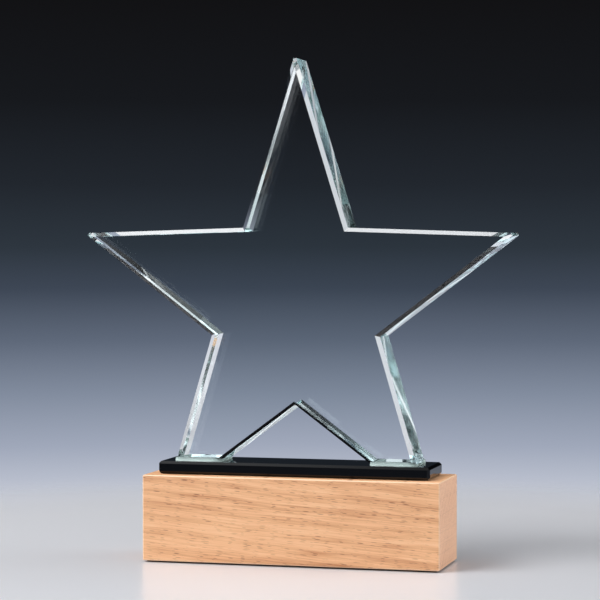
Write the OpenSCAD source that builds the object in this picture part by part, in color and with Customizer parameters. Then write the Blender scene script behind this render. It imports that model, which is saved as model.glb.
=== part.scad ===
// Crystal star award: a bevelled clear star with two flat feet, glued to a thin
// black crystal plate, which is taped to a solid beech block.
// Millimetres. +Z is up, +X is to the right of a person who faces the award, and
// +Y is to its back. The origin is the centre of the underside.

/* [Beech block] */
// Length of the block, left to right
block_w = 120; // [116:1:180]
// Depth of the block, front to back
block_d = 35; // [31:1:80]
// Height of the block
block_h = 34; // [15:1:80]
// Width of the flat that eases each edge of the block
block_edge = 0.4; // [0.1:0.1:2]

/* [Black plate] */
// Strip of block top that shows on each side of the plate
plate_margin = 5; // [1:0.5:5]
// Thickness of the plate
plate_t = 5; // [3:0.5:12]
// Leg of the chamfer on each edge of the plate
plate_chamfer = 1; // [0.2:0.1:1.4]

/* [Star] */
// Width across the two side points, before they are blunted
star_w = 175; // [150:1:230]
// Height from the feet to the top point, before it is blunted
star_h = 161; // [140:1:220]
// Thickness of the crystal
star_t = 18; // [10:1:20]
// Leg of the 45 degree bevel round both faces
star_bevel = 1.5; // [0.5:0.1:2]
// Width of the same bevel on the two edges of the notch between the feet
notch_bevel = 1.1; // [0.5:0.1:2]
// Width of the small flat ground on each sharp point
point_flat = 1.2; // [0.4:0.1:2]
// Height of the side points above the feet
side_point_h = 90.5; // [80:0.5:100]
// Half width of the star where the top point meets the side points
shoulder_x = 21.3; // [18:0.1:26]
// Height of that corner above the feet
shoulder_h = 92.6; // [88:0.1:102]
// Half width of the waist, where the side points meet the legs
waist_x = 34.2; // [30:0.1:40]
// Height of the waist above the feet
waist_h = 50; // [42:0.5:58]
// Distance from the middle to the outside of a foot
foot_outer_x = 49; // [44:0.5:52]
// Distance from the middle to the inside of a foot
foot_inner_x = 31; // [26:0.5:36]
// Height of the notch between the feet
notch_h = 23; // [15:0.5:34]

/* [Bonding layers and pad] */
// Thickness of the clear adhesive under each foot
glue_t = 0.1; // [0.1:0.05:0.5]
// Thickness of the double-sided tape under the plate
tape_t = 0.2; // [0.1:0.05:1]
// Length of each piece of tape, left to right
tape_w = 34; // [15:1:45]
// Thickness of the anti-slip pad under the block
pad_t = 0.5; // [0.3:0.1:3]
// Distance from the pad's edge to the block's edge
pad_margin = 1.5; // [0.5:0.5:8]

/* [Hidden] */
plate_w = block_w - 2 * plate_margin;
plate_d = block_d - 2 * plate_margin;

// Height of each layer's underside, from the floor up
block_z = pad_t;
tape_z = block_z + block_h;
plate_z = tape_z + tape_t;
glue_z = plate_z + plate_t;
star_z = glue_z + glue_t;

// The adhesive and the tape stop short of the faces they join
glue_inset = 0.6;
tape_inset = 3;
tape_x = plate_w / 4;

// ---- outline of the star ---------------------------------------------------

// Corners of the right half from the top point down to the notch, as [x, z]
// above the feet, with every point still sharp
right_half = [
    [0, star_h],
    [shoulder_x, shoulder_h],
    [star_w / 2, side_point_h],
    [waist_x, waist_h],
    [foot_outer_x, 0],
    [foot_inner_x, 0],
    [0, notch_h]
];
last = len(right_half) - 1;

// The whole outline, clockwise seen from the front: the right half, then its
// mirror image from the left foot back up to the left shoulder
star_outline = concat(right_half, [for (i = [last - 1:-1:1]) [-right_half[i].x, right_half[i].y]]);

// Bevel width of each edge; an edge starts at the corner of the same number, and
// the notch has the two edges that meet at its top
edge_bevels = [for (i = [0:len(star_outline) - 1]) i == last - 1 || i == last ? notch_bevel : star_bevel];

function unit(v) = v / norm(v);
// Normal of the edge from a to b that points into a clockwise outline
function inward(a, b) = let (u = unit(b - a)) [u.y, -u.x];
// The outline with each edge moved inwards by its own width, and each corner to
// where its two moved edges cross
function inset(outline, widths) = let (n = len(outline)) [
    for (i = [0:n - 1])
        let (h = (i + n - 1) % n,
             m = inward(outline[h], outline[i]),
             k = inward(outline[i], outline[(i + 1) % n]),
             c = m * k)
            outline[i] + (m * (widths[h] - c * widths[i]) + k * (widths[i] - c * widths[h])) / (1 - c * c)
];

// The outline's corners grouped into convex facets: the top point, the right
// point, the middle, the left point, the right leg, the crotch and the left leg
convex_facets = [[0, 1, 11], [1, 2, 3], [11, 1, 3, 9], [9, 10, 11], [3, 4, 5, 6], [9, 3, 6], [9, 6, 7, 8]];

function reversed(list) = [for (i = [len(list) - 1:-1:0]) list[i]];

// Plate standing on edge, front and back faces at y = -t/2 and t/2, with a bevel
// round both, depth deep and widths wide: four rings of corners joined by flat bands
module bevelled_plate(outline, facets, t, depth, widths) {
    n = len(outline);
    small = inset(outline, widths);
    rings = [[small, -t / 2], [outline, depth - t / 2], [outline, t / 2 - depth], [small, t / 2]];
    points = [for (ring = rings) for (p = ring[0]) [p.x, ring[1], p.y]];
    bands = [for (r = [0:2]) for (i = [0:n - 1])
        let (j = (i + 1) % n) [(r + 1) * n + i, (r + 1) * n + j, r * n + j, r * n + i]];
    back = [for (facet = facets) [for (i = reversed(facet)) 3 * n + i]];
    polyhedron(points, concat(facets, bands, back));
}

// Block that removes everything beyond the flat of a sharp point: tip is the
// point's corner, a and b are its two neighbours
module point_cutter(tip, a, b) {
    axis = unit(tip - (tip + 10 * unit(a - tip) + tip + 10 * unit(b - tip)) / 2);
    half_angle = acos(unit(a - tip) * unit(b - tip)) / 2;
    cut = tip - axis * point_flat / 2 / tan(half_angle);
    size = 2 * star_t;
    translate([cut.x, 0, cut.y])
        rotate([0, -atan2(axis.y, axis.x), 0])
            translate([0, -size / 2, -size / 2])
                cube(size);
}

// Box with its twelve edges chamfered, centred in plan, underside at z = 0
module chamfered_box(w, d, h, c) {
    module face(a, b)
        polygon([[c - a / 2, -b / 2], [a / 2 - c, -b / 2], [a / 2, c - b / 2], [a / 2, b / 2 - c],
                 [a / 2 - c, b / 2], [c - a / 2, b / 2], [-a / 2, b / 2 - c], [-a / 2, c - b / 2]]);
    translate([0, 0, h / 2])
        intersection() {
            linear_extrude(h, center = true) face(w, d);
            rotate([90, 0, 0]) linear_extrude(d, center = true) face(w, h);
            rotate([90, 0, 90]) linear_extrude(w, center = true) face(d, h);
        }
}

// ---- pieces ----------------------------------------------------------------

module crystal_star()
    color([0.85, 0.95, 0.93, 0.35])
        translate([0, 0, star_z])
            difference() {
                bevelled_plate(star_outline, convex_facets, star_t, star_bevel, edge_bevels);
                point_cutter(right_half[0], right_half[1], star_outline[len(star_outline) - 1]);
                for (side = [-1, 1])
                    mirror([side < 0 ? 1 : 0, 0, 0])
                        point_cutter(right_half[2], right_half[1], right_half[3]);
            }

// Clear film between one foot and the plate; side is -1 on the left, 1 on the right
module glue_film(side)
    color([0.9, 0.93, 0.92, 0.5])
        translate([side * (foot_outer_x + foot_inner_x) / 2, 0, glue_z + glue_t / 2])
            cube([foot_outer_x - foot_inner_x - 2 * glue_inset,
                  star_t - 2 * (star_bevel + glue_inset), glue_t], center = true);

module black_plate()
    color([0.02, 0.02, 0.025])
        translate([0, 0, plate_z])
            chamfered_box(plate_w, plate_d, plate_t, plate_chamfer);

// Double-sided tape between plate and block
module bond_tape(side)
    color([0.82, 0.8, 0.74])
        translate([side * tape_x, 0, tape_z + tape_t / 2])
            cube([tape_w, plate_d - 2 * tape_inset, tape_t], center = true);

module beech_block()
    color([0.9, 0.7, 0.53])
        translate([0, 0, block_z])
            chamfered_box(block_w, block_d, block_h, block_edge);

module base_pad()
    color([0.1, 0.09, 0.09])
        translate([0, 0, pad_t / 2])
            cube([block_w - 2 * pad_margin, block_d - 2 * pad_margin, pad_t], center = true);

crystal_star();
glue_film(-1);  // glue_film_left
glue_film(1);  // glue_film_right
black_plate();
bond_tape(-1);  // bond_tape_left
bond_tape(1);  // bond_tape_right
beech_block();
base_pad();
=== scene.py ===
"""Crystal star award: a bevelled clear star on two flat feet, cemented to a thin black
crystal plate that is taped to a solid beech block. Metres, +Z up, +X to the right of
whoever faces the award, +Y to its back, origin at the centre of the underside."""
import math

import bpy
import numpy as np
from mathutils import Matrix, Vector


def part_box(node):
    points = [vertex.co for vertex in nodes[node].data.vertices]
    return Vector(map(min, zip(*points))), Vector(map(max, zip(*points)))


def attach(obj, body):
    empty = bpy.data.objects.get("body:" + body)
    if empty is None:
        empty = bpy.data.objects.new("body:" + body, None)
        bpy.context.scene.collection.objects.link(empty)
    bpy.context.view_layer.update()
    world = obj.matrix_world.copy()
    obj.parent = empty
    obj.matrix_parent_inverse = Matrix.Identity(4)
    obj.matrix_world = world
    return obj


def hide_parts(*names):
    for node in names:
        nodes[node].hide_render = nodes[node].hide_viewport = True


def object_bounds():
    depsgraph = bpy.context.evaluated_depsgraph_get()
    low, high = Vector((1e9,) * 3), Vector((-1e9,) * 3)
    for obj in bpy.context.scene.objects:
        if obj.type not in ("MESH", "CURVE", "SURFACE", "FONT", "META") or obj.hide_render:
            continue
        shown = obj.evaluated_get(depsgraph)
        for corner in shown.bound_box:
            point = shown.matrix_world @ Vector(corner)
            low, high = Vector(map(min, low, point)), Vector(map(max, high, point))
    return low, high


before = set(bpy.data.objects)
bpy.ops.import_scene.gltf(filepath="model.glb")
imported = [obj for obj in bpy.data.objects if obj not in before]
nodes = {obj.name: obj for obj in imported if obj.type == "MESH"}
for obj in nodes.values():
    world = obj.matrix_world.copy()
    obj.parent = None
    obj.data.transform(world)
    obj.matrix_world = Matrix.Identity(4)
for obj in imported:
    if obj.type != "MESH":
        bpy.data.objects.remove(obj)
cad_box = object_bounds()
scene = bpy.context.scene

# Light runs down the inside of the crystal's edges by many reflections before it leaves.
scene.cycles.max_bounces = 32
scene.cycles.glossy_bounces = 32
scene.cycles.transmission_bounces = 32
scene.cycles.sample_clamp_indirect = 1.5
scene.view_settings.view_transform = "Standard"

# ---- Camera ---------------------------------------------------------------------
# A long lens a little under a metre away, turned to the award's right so that its
# right-hand edges show, and looking down on the plate by a degree and a half.
lens_mm = 137.9
camera_distance = 0.911
camera_turn = math.radians(14.8)
camera_dip = math.radians(1.54)
sensor_width = 36
aim = Vector((0, 0, 0.522 * cad_box[1].z))

camera = bpy.data.objects.new("camera", bpy.data.cameras.new("camera"))
scene.collection.objects.link(camera)
camera.data.lens = lens_mm
camera.data.sensor_width = sensor_width
camera.data.clip_start = 0.05
camera.rotation_euler = (math.pi / 2 - camera_dip, 0, camera_turn)
line_of_sight = Vector((-math.sin(camera_turn) * math.cos(camera_dip),
                        math.cos(camera_turn) * math.cos(camera_dip), -math.sin(camera_dip)))
camera.location = aim - camera_distance * line_of_sight
scene.camera = camera

# ---- Backdrop -------------------------------------------------------------------
# A round studio wall lit from below, so that it falls from white under table height
# to near black overhead, and over it a dome with one bright ring.
wall_radius = 1.3
wall_bottom, wall_top = -0.7, 0.9


def display(r, g, b):
    """A colour given as it should look on screen, 0 to 255, as the linear light it stands for."""
    c = np.array((r, g, b)) / 255
    return (*np.where(c <= 0.04045, c / 12.92, ((c + 0.055) / 1.055) ** 2.4), 1)


# Height on the wall, and its colour there behind the award
wall_colours = [(-0.40, display(255, 255, 255)), (-0.20, display(232, 234, 242)),
                (-0.12, display(196, 201, 214)), (-0.07, display(160, 168, 186)),
                (-0.02, display(130, 140, 158)), (0.03, display(95, 105, 122)),
                (0.08, display(62, 71, 85)), (0.12, display(46, 54, 63)),
                (0.18, display(34, 39, 46)), (0.26, display(23, 25, 29)), (0.36, display(18, 18, 20))]
# Towards the front of the studio the wall turns dark from this much further down; the
# change starts and ends at these shares of its radius in front of the award
front_drop = 0.10
drop_starts, drop_ends = 0.3, 0.8
# A patch of the wall, to the left of what is seen behind the award, lit from the floor:
# its direction, half width and soft edge, its top, and its colour
patch_turn, patch_half, patch_edge = math.radians(47), math.radians(13), math.radians(5)
patch_top, patch_fade = 0.10, 0.14
patch_colour = display(216, 220, 226)
# Dark screens on the wall, one to the right of what is seen behind the award, down to one
# height, and one to the left of the lit patch, up to another: where each starts and stops,
# its soft edge, its colour and how much it covers
right_shade, left_shade = np.radians((-34, -7)), np.radians((68, 118))
right_shade_foot, left_shade_top = -0.04, 0.10
shade_edge = math.radians(3)
shade_colour = display(12, 13, 16)
shade_strength = 0.94


def clean_tree(owner):
    """The emptied node tree of a material or a world."""
    owner.use_nodes = True
    owner.node_tree.nodes.clear()
    return owner.node_tree


def add(tree, kind, inputs=(), **settings):
    """A new shader node. An input is given a number or a colour, or joined to another node's output."""
    new = tree.nodes.new("ShaderNode" + kind)
    for name, value in settings.items():
        setattr(new, name, value)
    for name, value in dict(inputs).items():
        if isinstance(value, bpy.types.NodeSocket):
            tree.links.new(value, new.inputs[name])
        else:
            new.inputs[name].default_value = value
    return new


def spread(tree, value, low, high, to_low=0.0, to_high=1.0, **settings):
    """value brought from the range low to high into the range to_low to to_high, and held there."""
    inputs = {"Value": value, "From Min": low, "From Max": high, "To Min": to_low, "To Max": to_high}
    return add(tree, "MapRange", inputs, **settings).outputs["Result"]


def picked(tree, value, stops):
    """The colour that value picks from stops, a list of (place from 0 to 1, colour)."""
    new = add(tree, "ValToRGB", {"Fac": value})
    elements = new.color_ramp.elements
    while len(elements) < len(stops):
        elements.new(0.5)
    for element, (place, colour) in zip(elements, stops):
        element.position = place
        element.color = colour
    return new.outputs["Color"]


def calc(tree, operation, *values):
    """Arithmetic on one to three numbers or outputs."""
    return add(tree, "Math", dict(enumerate(values)), operation=operation).outputs[0]


def blended(tree, share, first, second):
    """The first colour turned towards the second by share, from 0 to 1."""
    return add(tree, "Mix", {0: share, 6: first, 7: second}, data_type="RGBA").outputs[2]


def ring_wall(name, radius, bottom, top, sides=128):
    """Open upright cylinder: points at (r cos a, r sin a, z), with a round the circle and z at each end."""
    a = np.linspace(0, 2 * math.pi, sides, endpoint=False)
    circle = np.stack([radius * np.cos(a), radius * np.sin(a)], -1)
    points = np.vstack([np.column_stack([circle, np.full(sides, z)]) for z in (bottom, top)])
    j = np.arange(sides)
    k = (j + 1) % sides
    mesh = bpy.data.meshes.new(name)
    mesh.from_pydata(points.tolist(), [], np.stack([k, j, j + sides, k + sides], -1).tolist())
    obj = bpy.data.objects.new(name, mesh)
    scene.collection.objects.link(obj)
    return obj


wall = ring_wall("backdrop_wall", wall_radius, wall_bottom, wall_top)
wall.data.materials.append(bpy.data.materials.new("graded_backdrop"))
tree = clean_tree(wall.data.materials[0])
place = add(tree, "SeparateXYZ", {0: add(tree, "TexCoord").outputs["Object"]})
drop = spread(tree, place.outputs["Y"], -drop_starts * wall_radius, -drop_ends * wall_radius, 0, front_drop,
              interpolation_type="SMOOTHSTEP")
height = calc(tree, "ADD", place.outputs["Z"], drop)
lowest, highest = wall_colours[0][0], wall_colours[-1][0]
stops = [((z - lowest) / (highest - lowest), colour) for z, colour in wall_colours]
graded = picked(tree, spread(tree, height, lowest, highest), stops)
turn = calc(tree, "ARCTAN2", calc(tree, "MULTIPLY", place.outputs["X"], -1), place.outputs["Y"])
aside = calc(tree, "ABSOLUTE", calc(tree, "SUBTRACT", turn, patch_turn))
patch = calc(tree, "MULTIPLY", spread(tree, aside, patch_half + patch_edge, patch_half),
             spread(tree, place.outputs["Z"], patch_top + patch_fade, patch_top))
shades = []
for start, stop in (right_shade, left_shade):
    starts = spread(tree, turn, start - shade_edge, start, 0, shade_strength)
    shades.append(calc(tree, "MULTIPLY", starts, spread(tree, turn, stop + shade_edge, stop)))
high = spread(tree, place.outputs["Z"], right_shade_foot - patch_fade / 2, right_shade_foot)
low = spread(tree, place.outputs["Z"], left_shade_top + patch_fade, left_shade_top)
shade = calc(tree, "MULTIPLY_ADD", shades[0], high, calc(tree, "MULTIPLY", shades[1], low))
lit = blended(tree, patch, blended(tree, shade, graded, shade_colour), patch_colour)
glow = add(tree, "Emission", {"Color": lit})
add(tree, "OutputMaterial", {"Surface": glow.outputs[0]})

# Overhead, a ring of pale light: its colours at each angle up from level, how much of it is
# left behind the award, and how far back, as a share of the dome, that starts and is reached
dim, bright = (0.03, 0.032, 0.036, 1), (1.5, 1.54, 1.6, 1)
dome_colours = ((40, dim), (54, bright), (72, bright), (82, dim))
dome_behind = 0.3
behind_starts, behind_reached = 0.2, 0.45

scene.world = bpy.data.worlds.new("dome")
tree = clean_tree(scene.world)
place = add(tree, "SeparateXYZ", {0: add(tree, "TexCoord").outputs["Generated"]})
rises = [(math.sin(math.radians(angle)), colour) for angle, colour in dome_colours]
ring = picked(tree, place.outputs["Z"], rises)
behind = spread(tree, place.outputs["Y"], behind_starts, behind_reached, 1, dome_behind)
glow = add(tree, "Background", {"Color": ring, "Strength": behind})
add(tree, "OutputWorld", {"Surface": glow.outputs[0]})

# ---- Table ----------------------------------------------------------------------
# A plain pale stone top with a soft polish, which fades out behind the award.
table_radius = 0.45
table_drop = 0.0002
# It is whole up to the first of these distances from the award, and gone at the second
table_solid, table_gone = 0.19, 0.36
stone_colour, stone_roughness = display(207, 205, 207), 0.28


def disc(name, radius, z, rings=24, sides=96):
    """Flat round sheet at height z: points at (r cos a, r sin a), r up to radius, a round the circle."""
    r = np.linspace(0, radius, rings + 1)[1:, None]
    a = np.linspace(0, 2 * math.pi, sides, endpoint=False)[None, :]
    points = np.stack([r * np.cos(a), r * np.sin(a), np.full((rings, sides), z)], -1).reshape(-1, 3)
    points = np.vstack([points, [[0, 0, z]]])
    i, j = np.meshgrid(np.arange(rings - 1), np.arange(sides), indexing="ij")
    k = (j + 1) % sides
    quads = np.stack([i * sides + j, (i + 1) * sides + j, (i + 1) * sides + k, i * sides + k], -1)
    middle = np.stack([np.full(sides, rings * sides), np.arange(sides), (np.arange(sides) + 1) % sides], -1)
    mesh = bpy.data.meshes.new(name)
    mesh.from_pydata(points.tolist(), [], quads.reshape(-1, 4).tolist() + middle.tolist())
    obj = bpy.data.objects.new(name, mesh)
    scene.collection.objects.link(obj)
    return obj


table = disc("table_top", table_radius, -table_drop)
table.data.materials.append(bpy.data.materials.new("pale_stone"))
tree = clean_tree(table.data.materials[0])
where = add(tree, "TexCoord").outputs["Object"]
outwards = add(tree, "VectorMath", {0: where}, operation="LENGTH").outputs["Value"]
gone = spread(tree, outwards, table_solid, table_gone, interpolation_type="SMOOTHSTEP")
stone = add(tree, "BsdfPrincipled", {"Base Color": stone_colour, "Roughness": stone_roughness})
mix = add(tree, "MixShader", {0: gone, 1: stone.outputs[0], 2: add(tree, "BsdfTransparent").outputs[0]})
add(tree, "OutputMaterial", {"Surface": mix.outputs[0]})

# ---- Studio light ---------------------------------------------------------------
# Soft boxes out of sight, a little cool: the key high at the front left, a large dim
# screen on each side, a faint low one at the right and a small one at the right back.
lamp_colour = (0.93, 0.97, 1.0)


def soft_box(name, place, size, watts):
    """Rectangular lamp of that size, width by height, hung at place and turned to face the award."""
    lamp = bpy.data.lights.new(name, "AREA")
    lamp.shape = "RECTANGLE"
    lamp.size, lamp.size_y = size
    lamp.energy = watts
    lamp.color = lamp_colour
    obj = bpy.data.objects.new(name, lamp)
    obj.location = place
    obj.rotation_euler = (aim - Vector(place)).to_track_quat("-Z", "Y").to_euler()
    obj.visible_camera = False
    scene.collection.objects.link(obj)


soft_box("key_left", (-0.66, -0.64, 1.00), (0.8, 0.55), 17.5)
soft_box("left_screen", (-1.00, -0.42, 0.50), (0.8, 0.8), 4.5)
soft_box("right_screen", (1.05, 0.28, 0.45), (0.9, 0.9), 7.0)
soft_box("right_low", (1.02, -0.30, 0.27), (0.6, 0.5), 0.7)
soft_box("right_back", (0.85, 0.75, 0.45), (0.5, 0.5), 1.2)

# ---- Crystal star ---------------------------------------------------------------
# Optical crystal sawn to a five-pointed star, ground with a bevel round both faces
# and polished by hand, which leaves the narrow sides a little wavy and satin, but those
# that face down nearly flat and clear.
wave_size = 0.016
wave_depth = 0.00004
satin_size = (0.006, 0.02, 0.02)
satin_least, satin_most = 0.02, 0.16
# How much of the waves and the satin is left on the sides that face down
left_below = 0.08
deep_colour, deep_density = (0.60, 0.90, 0.91, 1), 4.0


def finish(name):
    """A new material with one Principled shader, as (material, tree, shader)."""
    material = bpy.data.materials.new(name)
    tree = clean_tree(material)
    shader = add(tree, "BsdfPrincipled")
    add(tree, "OutputMaterial", {"Surface": shader.outputs[0]}, name="Material Output")
    return material, tree, shader


def settle(shader, **values):
    """Gives the shader's own sockets their even values; Base_Color stands for the socket Base Color."""
    for name, value in values.items():
        shader.inputs[name.replace("_", " ")].default_value = value


def noise(tree, where, size, detail=2.0):
    """Noise from 0 to 1 whose patches have that size along each axis."""
    patches = add(tree, "Mapping", {"Vector": where, "Scale": tuple(1 / s for s in size)})
    return add(tree, "TexNoise", {"Vector": patches.outputs[0], "Scale": 1.0, "Detail": detail})


def bumped(tree, shader, height, depth):
    """Raises the surface by height, from 0 to 1, times depth."""
    relief = add(tree, "Bump", {"Height": height, "Distance": depth})
    tree.links.new(relief.outputs[0], shader.inputs["Normal"])


def wear(node_name, material):
    """Gives one CAD node its material."""
    slots = nodes[node_name].data.materials
    slots.clear()
    slots.append(material)


clear_crystal, tree, shader = finish("clear_crystal")
settle(shader, Base_Color=(1, 1, 1, 1), IOR=1.52, Transmission_Weight=1)
at = add(tree, "TexCoord")
where = at.outputs["Object"]
facing = add(tree, "SeparateXYZ", {0: at.outputs["Normal"]})
on_side = spread(tree, calc(tree, "ABSOLUTE", facing.outputs["Y"]), 0.5, 0.3)
on_side = calc(tree, "MULTIPLY", on_side, spread(tree, facing.outputs["Z"], -0.5, -0.2, left_below, 1))
waves = noise(tree, where, (wave_size,) * 3, 1.0).outputs[0]
bumped(tree, shader, calc(tree, "MULTIPLY", waves, on_side), wave_depth)
satin = noise(tree, where, satin_size, 3.0).outputs[0]
satin = spread(tree, satin, 0.35, 0.65, satin_least, satin_most)
tree.links.new(calc(tree, "MULTIPLY", satin, on_side), shader.inputs["Roughness"])
depth_tint = add(tree, "VolumeAbsorption", {"Color": deep_colour, "Density": deep_density})
tree.links.new(depth_tint.outputs[0], tree.nodes["Material Output"].inputs["Volume"])
wear("crystal_star", clear_crystal)

# ---- Adhesive under the feet ----------------------------------------------------
# A clear adhesive set under a lamp: a thin film under each foot, and the bead that
# was squeezed out round it and fills the groove under the bevel.
film_inset = 0.0006
bead_height = {"front": 0.00145, "outside": 0.0006, "notch": 0.0008}
# How far the crystal runs outwards for each unit that it rises, on each side of a foot
overhang = {"front": 1.0, "outside": -0.296, "notch": 1.348}
# How far the bead's toe spreads and how hollow its face is, as shares of its height
toe_spread, bead_hollow = 0.12, 0.10
gap = 0.00001
# Milky mint white: partly the cured adhesive's own tint, partly a painted reflection standing in for the
# bright band along the feet
milky_and_painted_reflection_colour = display(226, 244, 238)
cloud_size = (0.0018, 0.0012, 0.0009)
cloud_depth = 0.00006


def foot_bond(name, film, plate_top, outer_side):
    """Film and bead as one skin. Round the foot, u runs once along its edge; across it, v runs from the
    middle of the underside out to the bead's toe, up its hollow face to the crest, back down along the
    crystal and in over the film. Height and overhang change from side to side in smooth steps."""
    lo, hi = film
    film_top = hi[2]
    x0, x1 = lo[0] - film_inset, hi[0] + film_inset
    y0, y1 = lo[1] - film_inset, hi[1] + film_inset
    along = np.linspace(0, 1, 17)[:-1]
    corners = np.array([(x0, y0), (x1, y0), (x1, y1), (x0, y1)])
    nexts = np.roll(corners, -1, axis=0)
    path = (corners[:, None] + (nexts - corners)[:, None] * along[None, :, None]).reshape(-1, 2)
    normals = np.repeat(np.array([(0, -1), (1, 0), (0, 1), (-1, 0)]), len(along), axis=0).astype(float)
    right, left = ("outside", "notch") if outer_side > 0 else ("notch", "outside")
    sides = ["front", right, "front", left]
    rise = np.repeat([bead_height[s] for s in sides], len(along))
    run = np.repeat([overhang[s] for s in sides], len(along))
    smooth = np.array([0.25, 0.5, 0.25])

    def eased(values):
        """Each value as half its own and a quarter of each neighbour along the path."""
        rolled = [np.roll(values, shift, axis=0) for shift in (-1, 0, 1)]
        return sum(w * r for w, r in zip(smooth, rolled))

    for _ in range(2):
        rise, run, normals = eased(rise), eased(run), eased(normals)
    base = plate_top + gap
    toe = np.maximum(run * rise, 0) + toe_spread * rise
    crest = run * rise
    t = np.linspace(0, 1, 7)[:, None]
    hollow = toe + (crest - toe) * t - bead_hollow * rise * np.sin(math.pi * t)
    climb = base + (film_top - gap + rise - base) * t
    down = np.linspace(1, 0, 4)[1:, None]
    offsets = np.vstack([np.zeros_like(toe)[None], hollow, crest * down])
    heights = np.vstack([np.full_like(toe, base)[None], climb, film_top - gap + rise * down])
    points = np.concatenate([path[None] + offsets[..., None] * normals[None], heights[..., None]], -1)
    rows, cols = heights.shape
    centre = path.mean(axis=0)
    points = np.vstack([points.reshape(-1, 3), [(*centre, base), (*centre, film_top - gap)]])
    i, j = np.meshgrid(np.arange(rows - 1), np.arange(cols), indexing="ij")
    k = (j + 1) % cols
    quads = np.stack([i * cols + j, i * cols + k, (i + 1) * cols + k, (i + 1) * cols + j], -1)
    j = np.arange(cols)
    k = (j + 1) % cols
    under = np.stack([np.full(cols, rows * cols), k, j], -1)
    over = np.stack([np.full(cols, rows * cols + 1), (rows - 1) * cols + j, (rows - 1) * cols + k], -1)
    mesh = bpy.data.meshes.new(name)
    mesh.from_pydata(points.tolist(), [], quads.reshape(-1, 4).tolist() + under.tolist() + over.tolist())
    obj = bpy.data.objects.new(name, mesh)
    scene.collection.objects.link(obj)
    return obj


clear_adhesive, tree, shader = finish("clear_adhesive")
# Its base colour is partly a painted reflection of the bright band under the feet
settle(shader, Base_Color=milky_and_painted_reflection_colour, IOR=1.48, Transmission_Weight=0.35)
where = add(tree, "TexCoord").outputs["Object"]
clouds = noise(tree, where, cloud_size, 3.0).outputs[0]
tree.links.new(spread(tree, clouds, 0.3, 0.7, 0.08, 0.3), shader.inputs["Roughness"])
bumped(tree, shader, clouds, cloud_depth)

plate_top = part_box("black_plate")[1][2]
for side, outer_side in (("left", -1), ("right", 1)):
    bond = foot_bond(f"foot_bond_{side}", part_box(f"glue_film_{side}"), plate_top, outer_side)
    bond.data.materials.append(clear_adhesive)
    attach(bond, "root")
    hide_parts(f"glue_film_{side}")

# ---- Black plate ----------------------------------------------------------------
# Black crystal cut to size, chamfered all round on a wheel and polished. It carries
# the faint marks of a cloth that polished black always shows.
plate_colour = (0.001, 0.001, 0.0013, 1)
wipe_size = (0.03, 0.008, 0.004)

black_crystal, tree, shader = finish("black_crystal")
settle(shader, Base_Color=plate_colour, IOR=1.5, Specular_IOR_Level=0.3)
where = add(tree, "TexCoord").outputs["Object"]
wipes = noise(tree, where, wipe_size, 5.0).outputs[0]
tree.links.new(spread(tree, wipes, 0.35, 0.75, 0.02, 0.09), shader.inputs["Roughness"])
wear("black_plate", black_crystal)

# ---- Tape under the plate -------------------------------------------------------
# Two strips of double-sided acrylic tape, milky, with a fine open weave inside.
weave = 0.0006
weave_depth = 0.00003
tape_colour, thread_colour = display(226, 221, 208), display(238, 235, 226)

bonding_tape, tree, shader = finish("bonding_tape")
where = add(tree, "TexCoord").outputs["Object"]
threads = add(tree, "TexWave", {"Vector": where, "Scale": 1 / weave, "Distortion": 0.4, "Detail": 1.0})
cross = add(tree, "TexWave", {"Vector": where, "Scale": 1 / weave, "Distortion": 0.4, "Detail": 1.0},
            bands_direction="Y")
net = calc(tree, "MAXIMUM", threads.outputs["Fac"], cross.outputs["Fac"])
tree.links.new(blended(tree, net, tape_colour, thread_colour), shader.inputs["Base Color"])
tree.links.new(spread(tree, net, 0, 1, 0.35, 0.55), shader.inputs["Roughness"])
bumped(tree, shader, net, weave_depth)
wear("bond_tape_left", bonding_tape)
wear("bond_tape_right", bonding_tape)

# ---- Beech block ----------------------------------------------------------------
# Solid pale beech, sawn on the slab, sanded and given a matt oil. On the front the
# rays show as short dark dashes, on the ends as lines, and the year rings as bands.
grain_dip = math.radians(4.3)
ring_width = 0.0026
ring_tilt = math.radians(21.6)
pith_distance = 0.20
fibre_size = (0.016, 0.0012, 0.00045)
fleck_cell = (0.0056, 0.00062)
wood_colours = [(0, display(246, 198, 154)), (0.4, display(236, 180, 134)), (1, display(186, 122, 78))]
fleck_colour = display(124, 66, 32)
# Colour of the arrises: partly sanding wear, partly a painted highlight along the chamfers
lit_and_worn_arris_colour = display(250, 222, 192)
end_colour = display(232, 186, 160)
grain_depth = 0.00005

beech, tree, shader = finish("beech")
at = add(tree, "TexCoord")
along = add(tree, "Mapping", {"Vector": at.outputs["Object"], "Rotation": (0, -grain_dip, 0)}).outputs[0]
drift = noise(tree, along, (0.06, 0.03, 0.012), 2.5).outputs["Color"]
swing = add(tree, "VectorMath", {0: drift, 1: (0.0, 0.004, 0.0018)}, operation="MULTIPLY").outputs[0]
grain = add(tree, "VectorMath", {0: along, 1: swing}).outputs[0]

# Year rings about a pith that lay far in front of the block and below it
pith = (0, -pith_distance * math.cos(ring_tilt), -pith_distance * math.sin(ring_tilt))
from_pith = add(tree, "VectorMath", {0: grain, 1: pith}, operation="SUBTRACT").outputs[0]
across = add(tree, "VectorMath", {0: from_pith, 1: (0, 1, 1)}, operation="MULTIPLY").outputs[0]
radius = add(tree, "VectorMath", {0: across}, operation="LENGTH").outputs["Value"]
season = calc(tree, "FRACT", calc(tree, "DIVIDE", radius, ring_width))
late = picked(tree, season, [(0, (0, 0, 0, 1)), (0.35, (0.3, 0.3, 0.3, 1)), (0.7, (1, 1, 1, 1)),
                             (0.9, (0.7, 0.7, 0.7, 1)), (1, (0, 0, 0, 1))])
strength = spread(tree, noise(tree, along, (0.05, 0.03, 0.012)).outputs[0], 0.3, 0.7, 0.25, 1.0)
late = calc(tree, "MULTIPLY", late, strength)

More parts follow.
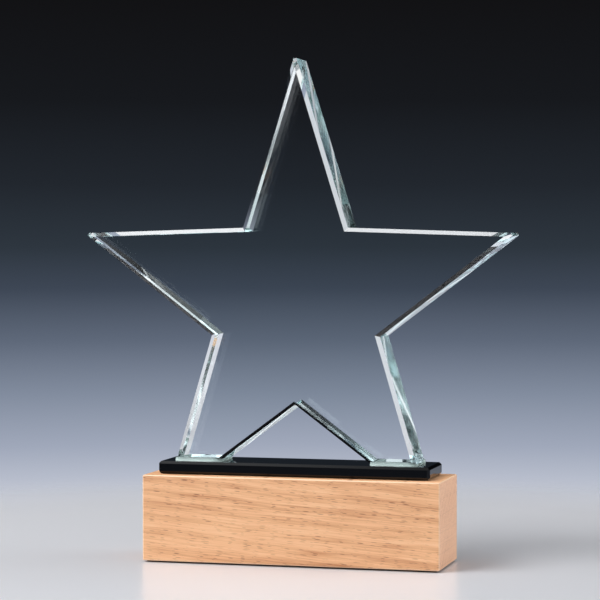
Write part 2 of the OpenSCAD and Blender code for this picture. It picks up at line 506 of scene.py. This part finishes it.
# Fine fibres, then the whole tone of the wood
fibres = noise(tree, grain, fibre_size, 3.0).outputs[0]
broad = noise(tree, along, (0.08, 0.03, 0.010), 2.0).outputs[0]
tone = calc(tree, "MULTIPLY_ADD", fibres, 1.0, calc(tree, "MULTIPLY", late, 0.40))
tone = calc(tree, "MULTIPLY_ADD", broad, 0.4, tone)
colour = picked(tree, spread(tree, tone, 0.35, 1.3), wood_colours)

# Ray flecks: one in each long flat cell, of its own length, darkest in the late wood
flat = add(tree, "SeparateXYZ", {0: grain})
cells = add(tree, "CombineXYZ", {0: calc(tree, "DIVIDE", flat.outputs["X"], fleck_cell[0]),
                                 1: calc(tree, "DIVIDE", flat.outputs["Z"], fleck_cell[1])}).outputs[0]
fleck = add(tree, "TexVoronoi", {"Vector": cells, "Scale": 1.0}, voronoi_dimensions="2D")
own = add(tree, "SeparateColor", {0: fleck.outputs["Color"]})
reach = spread(tree, own.outputs[0], 0.1, 1.0, 0.01, 0.30)
mark = spread(tree, calc(tree, "DIVIDE", fleck.outputs["Distance"], reach), 1.0, 0.55)
mark = calc(tree, "MULTIPLY", mark, spread(tree, own.outputs[1], 0, 1, 0.5, 1.0))
mark = calc(tree, "MULTIPLY", mark, spread(tree, late, 0, 0.6, 0.3, 1.0))
colour = blended(tree, mark, colour, fleck_colour)

# The arrises are lightened, partly by sanding wear that burnishes them so they take less oil and partly as
# a painted highlight where light catches the chamfers; and the end grain turns a little pink
faces = add(tree, "VectorMath", {0: at.outputs["Normal"]}, operation="ABSOLUTE").outputs[0]
faces = add(tree, "SeparateXYZ", {0: faces})
squarest = calc(tree, "MAXIMUM", faces.outputs[0], faces.outputs[1])
squarest = calc(tree, "MAXIMUM", squarest, faces.outputs[2])
# Mask of the chamfered arrises, which carry the painted highlight as well as the wear
lit_and_worn_arris = spread(tree, squarest, 0.95, 0.75)
colour = blended(tree, calc(tree, "MULTIPLY", lit_and_worn_arris, 0.45), colour, lit_and_worn_arris_colour)
end_grain = spread(tree, faces.outputs[0], 0.8, 0.95)
colour = blended(tree, calc(tree, "MULTIPLY", end_grain, 0.4), colour, end_colour)
tree.links.new(colour, shader.inputs["Base Color"])
tree.links.new(spread(tree, tone, 0.3, 1.1, 0.42, 0.56), shader.inputs["Roughness"])
relief = calc(tree, "SUBTRACT", calc(tree, "MULTIPLY", fibres, 0.5), mark)
bumped(tree, shader, relief, grain_depth)
wear("beech_block", beech)

# ---- Anti-slip pad --------------------------------------------------------------
# A sheet of black foam rubber, stuck under the block, with a fine open skin.
pore_size = 0.0005
pore_depth = 0.00008
skin_colour, rim_colour = display(38, 36, 36), display(58, 55, 54)

anti_slip_pad, tree, shader = finish("anti_slip_pad")
where = add(tree, "TexCoord").outputs["Object"]
pores = add(tree, "TexVoronoi", {"Vector": where, "Scale": 1 / pore_size}).outputs["Distance"]
tree.links.new(blended(tree, pores, skin_colour, rim_colour), shader.inputs["Base Color"])
tree.links.new(spread(tree, pores, 0, 1, 0.75, 0.95), shader.inputs["Roughness"])
bumped(tree, shader, pores, pore_depth)
wear("base_pad", anti_slip_pad)
